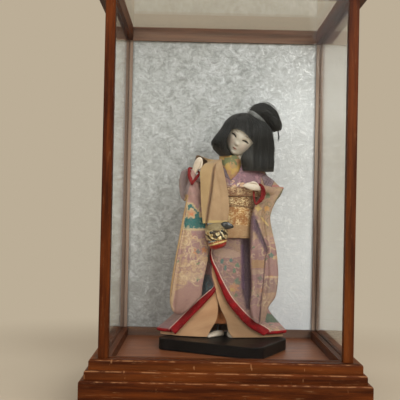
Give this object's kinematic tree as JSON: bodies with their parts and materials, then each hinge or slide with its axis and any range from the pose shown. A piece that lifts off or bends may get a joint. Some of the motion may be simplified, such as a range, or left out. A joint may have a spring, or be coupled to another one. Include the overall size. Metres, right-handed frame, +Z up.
{
  "type": "dressed doll in a glazed display case",
  "caption": "Dressed dancing doll on a black plinth inside a wooden display case with glass sides and top, silver paper back and a front pane that slides up",
  "frame": {"origin": "middle of the base's underside", "axes": "+Z up, -Y towards the front pane, +X to the right seen from the front"},
  "size_m": [0.339, 0.303, 0.521],
  "materials": {
    "case_wood": "varnished, worn edges",
    "floor_wood": "satin",
    "pane": "clear",
    "back_board": "raw",
    "silver_paper": "glitter",
    "lacquer": "black lacquer",
    "powder_white": "shell-white paint",
    "wire": "plain",
    "stuffing": "matte",
    "hair": "silk strands",
    "ribbon": "satin",
    "collar": "brocade",
    "brocade": "brocade",
    "red_silk": "satin",
    "tan_cloth": "matte",
    "underskirt": "matte",
    "gold_brocade": "brocade",
    "mask_gold": "gilt",
    "mask_red": "painted",
    "mask_black": "painted"
  },
  "bodies": {
    "case": {"base_board_front": "case_wood", "base_board_right": "case_wood", "base_board_back": "case_wood", "base_board_left": "case_wood", "step_moulding_front": "case_wood", "step_moulding_right": "case_wood", "step_moulding_back": "case_wood", "step_moulding_left": "case_wood", "cornice_front": "case_wood", "cornice_right": "case_wood", "cornice_back": "case_wood", "cornice_left": "case_wood", "floor_board": "floor_wood", "post_front_left": "case_wood", "post_front_right": "case_wood", "post_back_left": "case_wood", "post_back_right": "case_wood", "top_rail_left": "case_wood", "top_rail_right": "case_wood", "top_rail_back": "case_wood", "top_rail_front": "case_wood", "left_glass": "pane", "right_glass": "pane", "top_glass": "pane", "back_board": "back_board", "silver_paper": "silver_paper"},
    "front_pane": {"front_glass": "pane"},
    "doll": {"plinth": "lacquer", "foot_right": "powder_white", "foot_left": "powder_white", "leg_wire_right": "wire", "leg_wire_left": "wire", "arm_wire_right": "wire", "arm_wire_left": "wire", "hand_right": "powder_white", "hand_left": "powder_white", "body_core": "stuffing", "head": "powder_white", "hair": "hair", "hair_bun": "hair", "bun_ribbon": "ribbon", "inner_collar": "collar", "bodice": "brocade", "obi": "gold_brocade", "obi_roll": "gold_brocade", "obi_bow": "gold_brocade", "robe_skirt": "brocade", "hem_band_left": "red_silk", "hem_band_right": "red_silk", "under_robe": "tan_cloth", "underskirt": "underskirt", "sleeve_right": "brocade", "sleeve_left": "brocade", "cuff_right": "red_silk", "cuff_left": "red_silk", "shoulder_cloth": "tan_cloth", "lion_mask": "mask_gold", "lion_jaw": "mask_red", "lion_ear_right": "mask_black", "lion_ear_left": "mask_black"}
  },
  "joints": [
    {"name": "front_glass_lift", "type": "slide", "parent": "case", "child": "front_pane", "axis": [0, 0, 1], "range_m": [0, 0.4]},
    {"name": "doll_turn", "type": "hinge", "parent": "case", "child": "doll", "pos_m": [0.0015, 0.0135, 0.0573], "axis": [0, 0, 1], "continuous": true}
  ]
}
